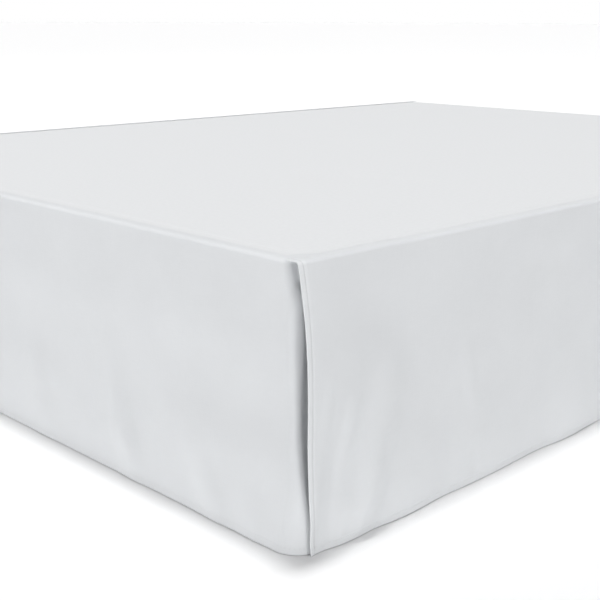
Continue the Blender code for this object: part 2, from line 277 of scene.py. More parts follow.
# %% Tables of the corner
CORNER = (                  # height; radius of the arc in plan; how far inside the side's plane it ends
    (0.000, 0.0385, 0.0050),
    (0.040, 0.028, 0.0062),
    (0.085, 0.016, 0.0045),
    (0.125, 0.012, 0.0062),
    (0.170, 0.010, 0.0080),
    (0.215, 0.010, 0.0078),
    (0.265, 0.013, 0.0072),
    (0.310, 0.013, 0.0066),
    (0.336, 0.011, 0.0070),
    (0.358, 0.008, 0.0180),
    (0.381, 0.006, 0.0215),
)
SEAM_CORNER = 0.002         # least radius of the cloth's inner corner where it lies on the deck
UNDERLAP_TUCK = 0.0045      # past the corner the underlap lies this far inside the side drop's plane
UNDERLAP_SLANT = 0.012      # its loose end drifts this much further in at the hem
UNDERLAP_END = 0.130        # its end, measured along the side from the corner
OVERLAP_EASE = 0.080        # past it the side drop sinks by one layer over this length

# height; how far behind the corner the edge hangs; how far it stands out from the side's plane; how far
# along the panel that bend dies out
FRONT_EDGE = (
    (0.000, 0.0225, -0.0015, 0.080),
    (0.020, 0.0205, -0.0015, 0.080),
    (0.040, 0.0195, 0.0000, 0.080),
    (0.081, 0.0124, 0.0045, 0.085),
    (0.147, 0.0058, 0.0085, 0.110),
    (0.211, 0.0047, 0.0095, 0.140),
    (0.274, 0.0038, 0.0080, 0.150),
    (0.310, 0.0022, 0.0060, 0.150),
    (0.336, 0.0000, 0.0040, 0.140),
    (0.360, -0.0015, 0.0015, 0.120),
    (0.381, -0.0045, 0.0000, 0.100),
)
print("corner rows:", len(CORNER), "front edge rows:", len(FRONT_EDGE))

# %% [markdown]
# ## Hems
#
# A hem is the cloth's own edge, turned in twice and stitched down. It is thicker than the panel, it has a
# shallow groove where the stitches pull it in, and the thread gathers the cloth beside it into small
# puckers. So a hem is three numbers for each point of the panel: how thick the cloth is, how deep the
# groove is, and how far the puckers push it.

# %% Hem relief
STITCH_INSET = 0.0034       # the stitches run this far inside the hem's inner edge
FRONT_LINE = FRONT_HEM - STITCH_INSET       # so they lie this far from the cloth's upright edge
LOW_LINE = LOWER_HEM - STITCH_INSET         # and this far from its lower edge
LOW_SHARE = 0.3             # the lower hem is pressed flatter: its relief has this share of the front hem's
PILLOW = 0.0011             # how much thicker the hem is than the panel, between its edge and the stitches
INNER_FOLD = 0.0008         # the same for the turned edge beyond the stitches
INNER_WIDTH = 0.0056        # width of that edge
RELIEF = 0.0148             # past this distance from its edge a panel is plain
PUCKER = 0.00022            # height of the puckers
PUCKER_STEP = 0.017         # from one pucker to the next, about
PUCKER_REACH = 0.030        # how far from the stitches they die out
PUCKER_TOP = 0.030          # and how far below the bed's edge they start to


def hem_thickness(v, *edges):
    """Thickness of the cloth, from (distance to an edge, its stitches' distance, strength) for each hem.

    From the edge to the stitches the hem is a pillow, 1 - x^4, which leaves a groove at the stitches.
    Beyond them the turned edge is a half sine. The strength scales both, and the hem ends where the
    cloth, v up from its lower edge, turns over the bed's edge.
    """
    extra = 0.0
    for distance, stitches, strength in edges:
        pillow = 1.0 - np.clip(distance / stitches, 0.0, 1.0) ** 4
        turned = np.sin(pi * np.clip((distance - stitches) / INNER_WIDTH, 0.0, 1.0))
        extra = np.maximum(extra, strength * (PILLOW * pillow + INNER_FOLD * turned))
    return CLOTH + extra * ease((HANG - v) / SHOULDER)


def pucker(distance, along, stitches, height):
    """Push of the puckers beside a line of stitches: an uneven wave along it that fades away from it."""
    away = np.abs(distance - stitches) / PUCKER_REACH
    return PUCKER * waver(along, PUCKER_STEP) * ease(1.0 - away) * ease((DROP - height) / PUCKER_TOP)


print("thickness of hem, groove and panel:",
      *[f"{1000 * hem_thickness(0.1, (d, FRONT_LINE, 1.0)):.2f} mm" for d in (0.004, FRONT_LINE, 0.02)])

# %% [markdown]
# ## The side drops
#
# A side drop is a function of two distances along the cloth: s from its front edge towards the head of the
# bed, and v up from its lower edge. Written this way, the same function gives the whole panel, any line of
# stitches on it, and the directions that the thread lies in.

# %% Surface of a side drop
def side_drop(side, folds, creases, s, v):
    """Middle of the cloth of a side drop. side is 1 at the right of the bed and -1 at the left.

    x is the side's plane less the section's inset, plus what the front edge, the folds and the puckers
    push it out. y runs from the foot face, set back near the front edge. z is the section's height, plus
    one layer where the drop lies over the underlap.
    """
    inset, height = section(v)
    back, proud, reach = read_table(FRONT_EDGE, height)
    edge = ease(1.0 - s / reach)
    along = s + back * edge
    push = proud * edge + fold_push(folds, creases, along, height)
    push = push + pucker(s, v, FRONT_LINE, height) + pucker(v, s, LOW_LINE, height)
    over_lap = LAYER * ease(1.0 - (s - UNDERLAP_END) / OVERLAP_EASE) * ease(height / DROP)
    x = SIDE_FACE - inset + push
    return np.stack(np.broadcast_arrays(side * x, FOOT_FACE + along, height + over_lap), axis=-1)


def side_drop_thickness(s, v):
    """Its thickness, with hems at the front, at the head end and along the floor."""
    return hem_thickness(v, (s, FRONT_LINE, 1.0), (BED_LENGTH - s, FRONT_LINE, 1.0),
                         (v, LOW_LINE, LOW_SHARE))


corner = side_drop(1, RIGHT_FOLDS, RIGHT_CREASES, np.array(0.0), np.array(0.0))
print("right drop, lower front corner:", corner.round(4))

# %% [markdown]
# ## The foot drop
#
# The foot drop is one panel from underlap to underlap. Half way along it lies flat on the foot of the bed;
# at each corner it follows the arc from the table, and past it the underlap hangs behind the side drop.
# Its s is measured from the middle of the foot, negative to the left.

# %% Surface of the foot drop
FACE_CUT = 0.743            # cloth from the middle of the foot to the start of the arc
ARC_CUT = 0.030             # cloth round the corner
UNDERLAP_CUT = 0.107        # cloth from the arc to the loose end
FOOT_CUT = 2 * (FACE_CUT + ARC_CUT + UNDERLAP_CUT)
TUCK_EASE = 0.55            # the underlap settles into its plane over this share of its length
SEAM_EASE = 0.3             # and over this one near the seam, to clear the foundation's corner
SEAM_FROM = 0.310           # height where the first share starts to turn into the second
SEAM_RISE = 0.040           # how much higher it has done so
HOLLOW = 0.0031             # behind the corner it swings this much further in
HOLLOW_AT = 0.14            # share of its length where it lies deepest


def foot_drop(s, v):
    """Middle of the cloth of the foot drop.

    In plan: a straight run along the foot, a quarter circle, and a straight underlap, each as long as
    its share of s. The folds push the straight run out along -y and fade round the arc. Past the arc the
    cloth eases out to the underlap's plane, less a hollow of (t e^(1 - t))^2, which is deepest at t = 1.
    """
    inset, height = section(v)
    radius, tuck = read_table(CORNER, height)
    radius = np.maximum(radius - inset, SEAM_CORNER)
    centre_x = SIDE_FACE - tuck - inset - radius
    centre_y = FOOT_FACE + inset + radius
    run = np.abs(s)
    side = np.sign(s)
    face = np.clip(run / FACE_CUT, 0.0, 1.0)
    angle = pi / 2 * np.clip((run - FACE_CUT) / ARC_CUT, 0.0, 1.0)
    under = np.clip((run - FACE_CUT - ARC_CUT) / UNDERLAP_CUT, 0.0, 1.0)
    slant = UNDERLAP_SLANT * ease(1.0 - height / base_low[2])
    settle = TUCK_EASE + (SEAM_EASE - TUCK_EASE) * ease((height - SEAM_FROM) / SEAM_RISE)
    t = under / HOLLOW_AT
    x = centre_x * face + radius * np.sin(angle) + (tuck - UNDERLAP_TUCK) * ease(under / settle)
    x = x - slant * under - HOLLOW * (t * np.exp(1.0 - t)) ** 2
    y = centre_y - radius * np.cos(angle) + under * (FOOT_FACE + UNDERLAP_END - centre_y)
    push = fold_push(FOOT_FOLDS, FOOT_CREASES, side * x, height) + pucker(v, s, LOW_LINE, height)
    return np.stack(np.broadcast_arrays(side * x, y - np.cos(angle) * push, height), axis=-1)


def foot_drop_thickness(s, v):
    """Its thickness, with hems at both loose ends and along the floor."""
    return hem_thickness(v, (FOOT_CUT / 2 - np.abs(s), FRONT_LINE, 1.0), (v, LOW_LINE, LOW_SHARE))


print("foot drop, lower right corner:", foot_drop(np.array(FACE_CUT), np.array(0.0)).round(4))

# %% [markdown]
# ## Cloth as a closed sheet
#
# Blender's Solidify modifier gives every point the same thickness, but a hem is thicker than its panel. So
# the sheet is made directly: each point of the middle surface goes half the thickness out and half in along
# the surface's normal, and one ring of points round the rim closes the edge and rounds it. The two
# distances along the cloth become its UV map, in metres, so the weave keeps its size and follows the cloth.

# %% A closed sheet from a grid
def unit(vectors):
    """The same directions with length 1."""
    return vectors / np.maximum(np.linalg.norm(vectors, axis=-1, keepdims=True), 1e-12)


def add_piece(name, mesh, finish, slot):
    """Put a mesh into the scene as one piece, with its finish, that rides on the model."""
    mesh.materials.append(finish)
    made = bpy.data.objects.new(name, mesh)
    bpy.context.scene.collection.objects.link(made)
    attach(made, "root")
    return made


def smooth_piece(name, points, faces, maps, finish, slot):
    """A smooth-shaded piece. maps names its UV maps, each a pair for every point."""
    mesh = bpy.data.meshes.new(name)
    mesh.from_pydata(points.tolist(), [], faces.tolist())
    corners = np.zeros(len(mesh.loops), np.int32)
    mesh.loops.foreach_get("vertex_index", corners)
    for map_name, places in maps.items():
        layer = mesh.uv_layers.new(name=map_name)
        layer.data.foreach_set("uv", places[corners].astype(np.float32).ravel())
    mesh.polygons.foreach_set("use_smooth", np.ones(len(mesh.polygons), bool))
    return add_piece(name, mesh, finish, slot)


def closed_sheet(name, middle, thickness, maps, finish, slot):
    """A sheet of cloth round a grid of middle points: outer layer, inner layer, and a rounded rim.

    outer = middle + normal * thickness / 2, inner = middle - normal * thickness / 2, and the rim stands
    thickness / 2 outside the grid's border. The normal is the cross product of the grid's directions.
    """
    across, up = unit(np.gradient(middle, axis=0)), unit(np.gradient(middle, axis=1))
    half = (thickness / 2)[..., None]
    normal = unit(np.cross(across, up)) * half
    outward = np.zeros_like(middle)
    outward[0] -= across[0]
    outward[-1] += across[-1]
    outward[:, 0] -= up[:, 0]
    outward[:, -1] += up[:, -1]
    columns, rows = thickness.shape
    index = np.arange(columns * rows).reshape(columns, rows)
    border = np.concatenate([index[:-1, 0], index[-1, :-1], index[:0:-1, -1], index[0, :0:-1]])
    after = np.roll(border, -1)
    rim = 2 * index.size + np.arange(len(border))
    rim_after = np.roll(rim, -1)
    flat = [grid.reshape(-1, 3) for grid in (middle + normal, middle - normal)]
    flat.append((middle + unit(outward) * half).reshape(-1, 3)[border])
    outer = np.stack([index[:-1, :-1], index[1:, :-1], index[1:, 1:], index[:-1, 1:]], axis=-1)
    outer = outer.reshape(-1, 4)
    inner = outer[:, ::-1] + index.size
    rim_out = np.stack([border, rim, rim_after, after], axis=-1)
    rim_in = np.stack([rim, border + index.size, after + index.size, rim_after], axis=-1)
    layered = {}
    for map_name, grid in maps.items():
        places = grid.reshape(-1, 2)
        layered[map_name] = np.concatenate([places, places, places[border]])
    return smooth_piece(name, np.concatenate(flat), np.concatenate([outer, inner, rim_out, rim_in]),
                        layered, finish, slot)


def spaced(*runs):
    """Numbers that climb from 0 through runs of (end, spacing)."""
    values = [np.zeros(1)]
    for end, spacing in runs:
        start = values[-1][-1]
        steps = max(1, round((end - start) / spacing))
        values.append(np.linspace(start, end, steps + 1)[1:])
    return np.concatenate(values)


print("spaced example:", spaced((0.01, 0.005), (0.03, 0.01)))

# %% [markdown]
# ## Stitches
#
# A stitch is a short length of thread that dips into the cloth at both ends. Thousands of them would be
# slow to place one at a time, so a whole line is made at once: the surface function gives every stitch's
# place, the direction of the line and the way out of the cloth, and one small pointed mesh is copied to all
# of them in a single array sum.

# %% A line of stitches
STITCH_LENGTH = 0.0026
STITCH_STEP = 0.0032
THREAD = 0.00024            # the thread's radius
SINK = 0.00025              # the stitch's ends lie this far below its middle
STITCH_CLEAR = 0.002        # a line of stitches stops this short of a hemmed edge
SEAM_CLEAR = 0.004          # and this short of the turn over the bed's edge and of a cut edge
BOTH = (1, -1)              # thread on the outside, 1, and on the inside, -1
THREAD_CORNERS = np.array([0.25, 0.75, 1.25, 1.75]) * pi


def stitch_form():
    """Points and triangles of one stitch along +x: a pointed tube of two square rings, bowed upwards."""
    ring = THREAD * np.stack([np.zeros(4), np.cos(THREAD_CORNERS), np.sin(THREAD_CORNERS)], axis=-1)
    shift = np.array([STITCH_LENGTH / 4, 0.0, 0.0])
    tip = np.array([STITCH_LENGTH / 2, 0.0, -SINK])
    points = np.concatenate([[-tip * (1, 1, -1)], ring - shift, ring + shift, [tip]])
    around = np.arange(4)
    after = (around + 1) % 4
    start = np.stack([np.zeros(4, int), 1 + after, 1 + around], axis=-1)
    middle = np.concatenate([np.stack([1 + around, 1 + after, 5 + after], axis=-1),
                             np.stack([1 + around, 5 + after, 5 + around], axis=-1)])
    end = np.stack([np.full(4, 9), 5 + around, 5 + after], axis=-1)
    return points, np.concatenate([start, middle, end])


def stitch_line(surface, thickness, start, end, faces):
    """Points and triangles of the stitches from one place on the cloth to another, as (s, v) pairs.

    Each stitch has its own axes: x along the line, z out of the cloth, y across both. Their middles lie
    0.4 of the thread's radius above the cloth.
    """
    start, end = np.array(start), np.array(end)
    length = np.linalg.norm(end - start)
    way = (end - start) / length
    count = int(length / STITCH_STEP)
    travel = (np.arange(count) + 0.5) * length / count
    s, v = (start[:, None] + way[:, None] * travel)
    nudge = 1e-4
    place = surface(s, v)
    thread_way = unit(surface(s + way[0] * nudge, v + way[1] * nudge) - place)
    out = unit(np.cross(surface(s + nudge, v) - place, surface(s, v + nudge) - place))
    form, triangles = stitch_form()
    points = []
    for face in faces:
        lift = face * (thickness(s, v) / 2 + THREAD * 0.4)
        axes = np.stack([thread_way, np.cross(face * out, thread_way), face * out], axis=1)
        points.append((place + out * lift[:, None])[:, None, :] + form[None] @ axes)
    points = np.concatenate(points).reshape(-1, 3)
    copies = np.arange(len(points) // len(form)) * len(form)
    return points, (triangles[None] + copies[:, None, None]).reshape(-1, 3)


def stitching(name, surface, thickness, lines, finish, slot):
    """Several lines of stitches as one piece. Each line is its start, its end and its sides of the cloth."""
    points, faces = np.zeros((0, 3)), []
    for start, end, sides in lines:
        line_points, line_faces = stitch_line(surface, thickness, start, end, sides)
        faces.append(line_faces + len(points))
        points = np.concatenate([points, line_points])
    return smooth_piece(name, points, np.concatenate(faces), {"cloth": points[:, :2]}, finish, slot)


print("triangles in one stitch:", len(stitch_form()[1]))

# %% [markdown]
# ## Finishes
#
# Each finish is a small tree of nodes that works out colour, roughness and relief from where a point is.
# The drops and the deck read their own UV map, which is in metres, so a thread is as wide as a real one. The
# rest read Object coordinates, which are metres too, because every piece sits at the origin.

# %% Helpers for materials
def new_finish(name, colour, roughness, **sockets):
    """A Principled material, with its tree and shader. sockets are constants named as the shader's are."""
    finish = bpy.data.materials.new(name)
    finish.use_nodes = True
    tree = finish.node_tree
    shader = tree.nodes["Principled BSDF"]
    shader.inputs["Base Color"].default_value = (*colour, 1.0)
    shader.inputs["Roughness"].default_value = roughness
    for socket, value in sockets.items():
        shader.inputs[socket.replace("_", " ")].default_value = value
    return finish, tree, shader


def node(tree, kind, settings=None, **inputs):
    """Add a node, set its properties, and set or link its inputs by name or by place (in0, in1 ...)."""
    made = tree.nodes.new("ShaderNode" + kind)
    for key, value in (settings or {}).items():
        setattr(made, key, value)
    for key, value in inputs.items():
        by_place = key.startswith("in") and key[2:].isdigit()
        socket = made.inputs[int(key[2:]) if by_place else key]
        if isinstance(value, bpy.types.NodeSocket):
            tree.links.new(value, socket)
        else:
            socket.default_value = value
    return made


def feed(tree, shader, **results):
    """Link results to the shader's sockets. They are named as the sockets are."""
    for socket, result in results.items():
        tree.links.new(result, shader.inputs[socket.replace("_", " ")])


def tones(tree, value, *stops):
    """The colour at a value, from two or more stops of (value, colour) in rising order."""
    made = node(tree, "ValToRGB", Fac=value)
    marks = made.color_ramp.elements
    marks[0].position, marks[1].position = stops[0][0], stops[-1][0]
    for position, _ in stops[1:-1]:
        marks.new(position)
    for mark, (_, colour) in zip(marks, stops):
        mark.color = (*colour, 1.0)
    return made.outputs[0]


def maths(tree, operation, *values):
    """A Math node's result."""
    inputs = {f"in{place}": value for place, value in enumerate(values)}
    return node(tree, "Math", {"operation": operation}, **inputs).outputs[0]


def noise(tree, place, scale, detail, roughness=0.5, dimensions="3D"):
    """A noise texture's value at a place. scale is how often it changes per metre."""
    return node(tree, "TexNoise", {"noise_dimensions": dimensions}, Vector=place, Scale=scale,
                Detail=detail, Roughness=roughness).outputs[0]


def relief(tree, strength, depth, height):
    """The normal of a surface whose height, 0 to 1, stands for this depth in metres."""
    return node(tree, "Bump", Strength=strength, Distance=depth, Height=height).outputs[0]


def weave_height(tree, place, pitch):
    """Height of a plain weave at a place on the cloth, about 0 to 1.

    Warp and weft are rows of rounded threads, |sin| across each, and the one on top changes at every
    crossing: a slow cosine of both directions lifts one as it lowers the other.
    """
    split = node(tree, "SeparateXYZ", in0=place)
    turns = [maths(tree, "MULTIPLY", split.outputs[axis], pi / pitch) for axis in (0, 1)]
    warp, weft = [maths(tree, "ABSOLUTE", maths(tree, "SINE", turn)) for turn in turns]
    crossing = maths(tree, "MULTIPLY", *[maths(tree, "COSINE", turn) for turn in turns])
    lift = maths(tree, "MULTIPLY", crossing, 0.35)
    return maths(tree, "MAXIMUM", maths(tree, "ADD", warp, lift), maths(tree, "SUBTRACT", weft, lift))


def slanted_wave(tree, place, pitch):
    """The sine of x + y + z, one wave per pitch."""
    split = node(tree, "SeparateXYZ", in0=place).outputs
    slanted = maths(tree, "ADD", maths(tree, "ADD", split[0], split[1]), split[2])
    return maths(tree, "SINE", maths(tree, "MULTIPLY", slanted, 2 * pi / pitch))


print("finish helpers ready")

# %% [markdown]
# ## Skirt cloth
#
# Close white cotton: a plain weave about 0.4 mm a thread, a little thicker here and there where the yarn
# was spun unevenly, so that faint short streaks run both ways. A hem looks paler, because less light gets
# through its layers, and the needle left a row of dimples in it, whose holes carry painted shade. Near the
# floor the cloth is painted paler still: a little for the lower hem's layers, mostly as painted light that
# offsets the shade the floor's shadow throws back on it. The fibres that stand off the surface catch light
# at a grazing angle, which is the shader's sheen.

# %% Skirt cloth
THREAD_PITCH = 0.0004       # from one thread of the weave to the next
SLUB_FINE, SLUB_LONG = 900.0, 45.0          # a slub's changes per metre, across the yarn and along it
HEM_END = 0.0130            # the front hem's layers end this far from its edge
FRONT_PALE = 0.25           # how far up the tones the front hem lies
LOW_HEM_AND_PAINTED_LIGHT = 0.66             # the same at the lower edge: a little for the hem's layers, mostly painted light
LOW_REACH = 0.025           # above it the paleness, mostly painted light, dies away by this length
NEEDLE = 0.0008             # radius of a needle hole's dimple and of the painted shade in it
LOW_NEEDLE = 0.15           # the lower hem's holes, dimples and painted shade, as a share of the front hem's
FRONT_RUN = HANG - STITCH_CLEAR - SEAM_CLEAR
FRONT_STEP = FRONT_RUN / int(FRONT_RUN / STITCH_STEP)


def needle_holes(tree, from_edge, along, line, step):
    """1 at the holes that a needle made along a line of stitches, fading to 0 round each.

    exp(-(d / NEEDLE)^2) for the distance d from the line, times |cos|^4 along it, one turn every two steps.
    The mask shapes both the holes' dimples and the painted shade in them.
    """
    across = maths(tree, "DIVIDE", maths(tree, "SUBTRACT", from_edge, line), NEEDLE)
    near = maths(tree, "EXPONENT", maths(tree, "MULTIPLY", maths(tree, "MULTIPLY", across, across), -1.0))
    turn = maths(tree, "MULTIPLY", maths(tree, "SUBTRACT", along, STITCH_CLEAR), pi / step)
    dots = maths(tree, "POWER", maths(tree, "ABSOLUTE", maths(tree, "COSINE", turn)), 4.0)
    return maths(tree, "MULTIPLY", near, dots)


def skirt_cloth_finish():
    """White cotton: weave relief, slubs along both threads, slow unevenness in tone, paler hems.

    The needle holes carry painted shade, and the cloth near the floor painted light.
    """
    finish, tree, shader = new_finish("skirt_cloth", (0.737, 0.752, 0.767), 0.88, Sheen_Weight=0.12,
                                      Sheen_Roughness=0.5, Specular_IOR_Level=0.25)
    place = node(tree, "UVMap", {"uv_map": "cloth"}).outputs[0]
    weave = weave_height(tree, place, THREAD_PITCH)
    slubs = []
    for stretch in ((SLUB_FINE, SLUB_LONG, 1.0), (SLUB_LONG, SLUB_FINE, 1.0)):
        drawn = node(tree, "VectorMath", {"operation": "MULTIPLY"}, in0=place, in1=stretch).outputs[0]
        slubs.append(noise(tree, drawn, 1.0, 2.0, dimensions="2D"))
    slub = maths(tree, "MULTIPLY", maths(tree, "ADD", *slubs), 0.5)
    slow = noise(tree, place, 9.0, 3.0, dimensions="2D")
    tone = maths(tree, "MULTIPLY_ADD", maths(tree, "ADD", slub, slow), 0.2, 0.07)
    edges = node(tree, "SeparateXYZ", in0=node(tree, "UVMap", {"uv_map": "hems"}).outputs[0])
    along = node(tree, "SeparateXYZ", in0=place).outputs[0]
    from_edge, from_floor = edges.outputs[0], edges.outputs[1]
    front_hem = node(tree, "MapRange", Value=from_edge, in1=HEM_END, in2=HEM_END + 0.001, in3=FRONT_PALE,
                     in4=0.0).outputs[0]
    # Painted light: near the floor the cloth is painted paler; a little of it is the lower hem's layers, the
    # rest offsets the shade that the floor's shadow throws back on the cloth.
    hem_and_painted_light = maths(tree, "EXPONENT", maths(tree, "DIVIDE", from_floor, -LOW_REACH))
    paler = maths(tree, "MAXIMUM", front_hem, maths(tree, "MULTIPLY", hem_and_painted_light, LOW_HEM_AND_PAINTED_LIGHT))
    colour = tones(tree, maths(tree, "ADD", tone, paler), (0.20, (0.721, 0.736, 0.751)),
                   (0.34, (0.752, 0.767, 0.782)), (1.0, (0.826, 0.842, 0.857)))
    front_holes = needle_holes(tree, from_edge, from_floor, FRONT_LINE, FRONT_STEP)
    low_holes = needle_holes(tree, from_floor, along, LOW_LINE, STITCH_STEP)
    holes = maths(tree, "MAXIMUM", front_holes, maths(tree, "MULTIPLY", LOW_NEEDLE, low_holes))
    # Painted shade: the colour is darkened by up to 45 % in each needle hole, for the shadow in the hole and
    # under the thread.
    shade = maths(tree, "SUBTRACT", 1.0, maths(tree, "MULTIPLY", holes, 0.45))
    shaded = node(tree, "VectorMath", {"operation": "SCALE"}, in0=colour, Scale=shade).outputs[0]
    woven = relief(tree, 0.35, 0.00006, maths(tree, "ADD", weave, maths(tree, "MULTIPLY", slub, 1.2)))
    dimples = node(tree, "Bump", {"invert": True}, Strength=0.6, Distance=0.0004, Height=holes,
                   Normal=woven).outputs[0]
    feed(tree, shader, Base_Color=shaded, Normal=dimples)
    return finish


skirt_cloth = skirt_cloth_finish()
print("made", skirt_cloth.name, "with", len(skirt_cloth.node_tree.nodes), "nodes")

# %% [markdown]
# ## Deck cloth, ticking and thread
#
# The deck is never seen on a made bed, so it is cut from a plainer, looser cloth. The foundation is covered
# in ticking, a hard off-white twill whose ridges run at a slant. The thread is a smooth white polyester
# with a little more gloss than the cotton.

# %% Deck cloth, ticking and thread
def deck_cloth_finish():
    """A looser, plainer weave of 0.6 mm threads, with small lints in its tone."""
    finish, tree, shader = new_finish("deck_cloth", (0.78, 0.79, 0.80), 0.92, Sheen_Weight=0.08,
                                      Sheen_Roughness=0.6, Specular_IOR_Level=0.2)
    place = node(tree, "UVMap", {"uv_map": "cloth"}).outputs[0]
    weave = weave_height(tree, place, 0.0006)
    lint = noise(tree, place, 160.0, 2.0, dimensions="2D")
    colour = tones(tree, lint, (0.35, (0.778, 0.788, 0.798)), (0.65, (0.792, 0.802, 0.812)))
    feed(tree, shader, Base_Color=colour, Normal=relief(tree, 0.4, 0.00008, weave))
    return finish


def ticking_finish():
    """Off-white twill: slanted ridges 0.8 mm apart, broken by a fine noise, slightly uneven in tone."""
    finish, tree, shader = new_finish("foundation_ticking", (0.70, 0.69, 0.66), 0.85,
                                      Specular_IOR_Level=0.25)
    place = node(tree, "TexCoord").outputs["Object"]
    twill = maths(tree, "ABSOLUTE", slanted_wave(tree, place, 2 * 0.0008))
    rough = maths(tree, "ADD", twill, noise(tree, place, 900.0, 2.0))
    tone = noise(tree, place, 14.0, 4.0)
    colour = tones(tree, tone, (0.35, (0.665, 0.655, 0.625)), (0.65, (0.72, 0.71, 0.685)))
    feed(tree, shader, Base_Color=colour, Normal=relief(tree, 0.4, 0.00012, rough))
    return finish


def thread_finish():
    """White polyester thread: twisted ply as a fine slanted ripple along the stitch."""
    finish, tree, shader = new_finish("thread", (0.83, 0.84, 0.85), 0.55, Sheen_Weight=0.1)
    ply = slanted_wave(tree, node(tree, "TexCoord").outputs["Object"], 0.0005)
    feed(tree, shader, Normal=relief(tree, 0.4, 0.00004, ply))
    return finish


deck_cloth = deck_cloth_finish()
ticking = ticking_finish()
thread = thread_finish()
print("made", deck_cloth.name, ticking.name, thread.name)

# %% [markdown]
# ## Painted steel and black plastic
#
# The frame is powder coated: a dark satin skin with a fine orange-peel relief and a few rubbed places. The
# glides are moulded plastic with a fine grain, greyer where they have been dragged.

# %% Painted steel and black plastic
def steel_finish():
    """Dark powder coat: orange peel in the relief, rubbed patches in colour and roughness."""
    finish, tree, shader = new_finish("frame_steel", (0.10, 0.10, 0.11), 0.45)
    place = node(tree, "TexCoord").outputs["Object"]
    peel = noise(tree, place, 700.0, 2.0)
    rubbed = noise(tree, place, 11.0, 6.0, 0.7)
    colour = tones(tree, rubbed, (0.45, (0.085, 0.085, 0.095)), (0.75, (0.15, 0.15, 0.155)))
    worn = node(tree, "MapRange", Value=rubbed, in1=0.3, in2=0.8, in3=0.5, in4=0.36).outputs[0]
    feed(tree, shader, Base_Color=colour, Roughness=worn, Normal=relief(tree, 0.25, 0.0001, peel))
    return finish


def glide_finish():
    """Black moulded plastic: a fine grain, and paler scuffs."""
    finish, tree, shader = new_finish("glide_plastic", (0.05, 0.05, 0.05), 0.5)
    place = node(tree, "TexCoord").outputs["Object"]
    grain = noise(tree, place, 1400.0, 2.0)
    scuff = noise(tree, place, 60.0, 5.0, 0.65)
    colour = tones(tree, scuff, (0.5, (0.042, 0.042, 0.043)), (0.8, (0.085, 0.084, 0.082)))
    feed(tree, shader, Base_Color=colour, Normal=relief(tree, 0.3, 0.00008, grain))
    return finish


steel = steel_finish()
black_plastic = glide_finish()
print("made", steel.name, black_plastic.name)

# %% [markdown]
# ## Sewing the drops
#
# Each drop is now its surface function read on a grid. The grid is close where the cloth does something,
# at hems, at the corner and over the bed's edge, and wide along the plain middle. Its stitches are read
# from the same function, so they lie exactly in their groove.

# %% Sew the three drops
RIM = 0.0009                # the rounded rim stands about this far outside the grid
SEAM_LINE = CUT_HEIGHT - SEAM_CLEAR         # the stitches that join a drop to the deck
v_rows = spaced((RELIEF, 0.0009), (0.040, 0.004), (HANG - 0.004, 0.0075),
                (HANG + SHOULDER * pi / 2 + 0.001, 0.0009), (CUT_HEIGHT - RIM, 0.0015))
side_columns = spaced((RELIEF, 0.0007), (0.220, 0.003), (BED_LENGTH - 0.013, 0.006),
                      (BED_LENGTH - 2 * RIM, 0.0009)) + RIM
half_foot = spaced((0.500, 0.007), (FACE_CUT, 0.003), (FACE_CUT + ARC_CUT, 0.0015),
                   (FOOT_CUT / 2 - 0.013, 0.004), (FOOT_CUT / 2 - RIM, 0.0009))
foot_columns = np.concatenate([-half_foot[:0:-1], half_foot])


def cloth_maps(s, v, from_edge):
    """Two UV maps of the flat cloth: (s, v), and the distances to an upright edge and to the lower one."""
    return {"cloth": np.stack(np.meshgrid(s, v, indexing="ij"), axis=-1),
            "hems": np.stack(np.meshgrid(from_edge, v, indexing="ij"), axis=-1)}


def sew_drop(name, surface, thickness, columns, ends, seam, seam_side):
    """One drop with its stitches: up both its upright hems, along its lower hem, and along its seam.

    columns are the places of its grid along the cloth, ends the places of its two upright edges, seam
    where its seam's stitches start and end, and seam_side the side of the cloth that shows them.
    """
    first, last = ends
    s, v = columns[:, None], v_rows[None, :]
    from_edge = np.minimum(columns - first, last - columns)
    panel = closed_sheet(name + "_cloth", surface(s, v), thickness(s, v),
                         cloth_maps(columns, v_rows, from_edge), skirt_cloth, "skirt_cloth")
    lines = [((end, STITCH_CLEAR), (end, HANG - SEAM_CLEAR), BOTH)
             for end in (first + FRONT_LINE, last - FRONT_LINE)]
    lines.append(((first + STITCH_CLEAR, LOW_LINE), (last - STITCH_CLEAR, LOW_LINE), BOTH))
    lines.append(((seam[0], SEAM_LINE), (seam[1], SEAM_LINE), (seam_side,)))
    sewn = stitching(name + "_stitches", surface, thickness, lines, thread, "skirt_cloth")
    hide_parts(name)
    print(panel.name, len(panel.data.polygons), "faces;", sewn.name, len(sewn.data.polygons), "faces")


sew_drop("foot_drop", foot_drop, foot_drop_thickness, foot_columns, (-FOOT_CUT / 2, FOOT_CUT / 2),
         (-FACE_CUT, FACE_CUT), 1)
for name, side, folds, creases in (("side_drop_right", 1, RIGHT_FOLDS, RIGHT_CREASES),
                                   ("side_drop_left", -1, LEFT_FOLDS, LEFT_CREASES)):
    sew_drop(name, partial(side_drop, side, folds, creases), side_drop_thickness, side_columns,
             (0.0, BED_LENGTH), (SEAM_CLEAR, BED_LENGTH - SEAM_CLEAR), side)

# %% [markdown]
# ## The deck
#
# The deck is a flat rectangle with rounded corners. A square grid is fitted to it by narrowing each row near
# the corners, which is simpler than trimming. A few low wrinkles cross it, because a cloth this large never
# lies quite flat, and its head edge has a hem of its own.

